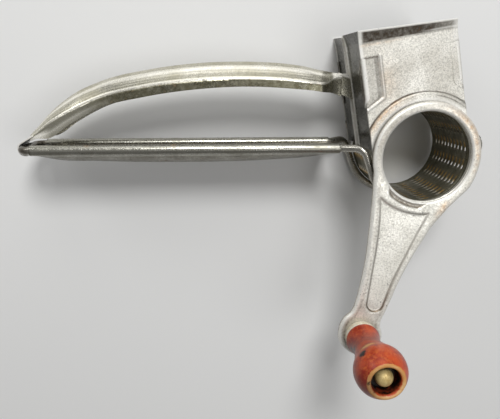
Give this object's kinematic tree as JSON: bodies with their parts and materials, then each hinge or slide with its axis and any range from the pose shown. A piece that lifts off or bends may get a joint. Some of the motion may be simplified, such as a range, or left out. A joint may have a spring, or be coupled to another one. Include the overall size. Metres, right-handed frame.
{
  "type": "rotary drum shredder",
  "caption": "Hand-held tin shredder: square hopper over a slotted drum in a bent wire frame, a hinged pressing handle, and a flat crank with a turned knob.",
  "frame": {"origin": "centre of the overall bounding box in X and Y, on the lowest plane (the hopper's back lip)", "axes": "+X from the handles' hinge to the drum, +Y towards the hopper's mouth, +Z along the drum's axis towards the crank and knob"},
  "size_m": [0.1996, 0.1462, 0.0841],
  "materials": {
    "hopper_tin": "worn tinplate, fine scratches, brown at the folds",
    "wire_steel": "tinned wire, dulled",
    "grip_tin": "tinplate, bright on the rolled edges, brown-grey on the belly",
    "handle_tin": "glossy tinplate with small dark pits",
    "pusher_tin": "dulled tinplate",
    "rivet_steel": "dull",
    "drum_tin": "tinplate, golden-brown around the cuts",
    "crank_tin": "pale tinplate with small grey pits",
    "knob_paint": "worn gloss red-orange paint on turned wood",
    "pin_brass": "dull, pale",
    "washer_brass": "dull, pale"
  },
  "bodies": {
    "frame": {"hopper_front_wall": "hopper_tin", "hopper_back_wall": "hopper_tin", "hopper_left_front_panel": "hopper_tin", "hopper_left_back_panel": "hopper_tin", "hopper_right_wall": "hopper_tin", "wire_frame": "wire_steel", "lower_grip": "grip_tin"},
    "presser": {"upper_handle": "handle_tin", "pusher_plate": "pusher_tin", "pusher_bracket": "pusher_tin", "bracket_rivets": "rivet_steel", "pusher_rivets": "rivet_steel"},
    "crank": {"drum": "drum_tin", "crank_arm": "crank_tin", "knob_washer": "washer_brass", "knob_pin": "pin_brass", "pin_washer": "washer_brass"},
    "hand_knob": {"knob": "knob_paint"}
  },
  "joints": [
    {"name": "handle_hinge", "type": "hinge", "parent": "frame", "child": "presser", "pos_m": [-0.09702, 0.02058, 0.0221], "axis": [0, 0, 1], "range_deg": [0, 110]},
    {"name": "crank_spin", "type": "hinge", "parent": "frame", "child": "crank", "pos_m": [0.07298, 0.01798, 0.0221], "axis": [0, 0, 1], "continuous": true},
    {"name": "knob_spin", "type": "hinge", "parent": "crank", "child": "hand_knob", "pos_m": [0.04858, -0.06242, 0.065], "axis": [0, 0, 1], "continuous": true}
  ]
}
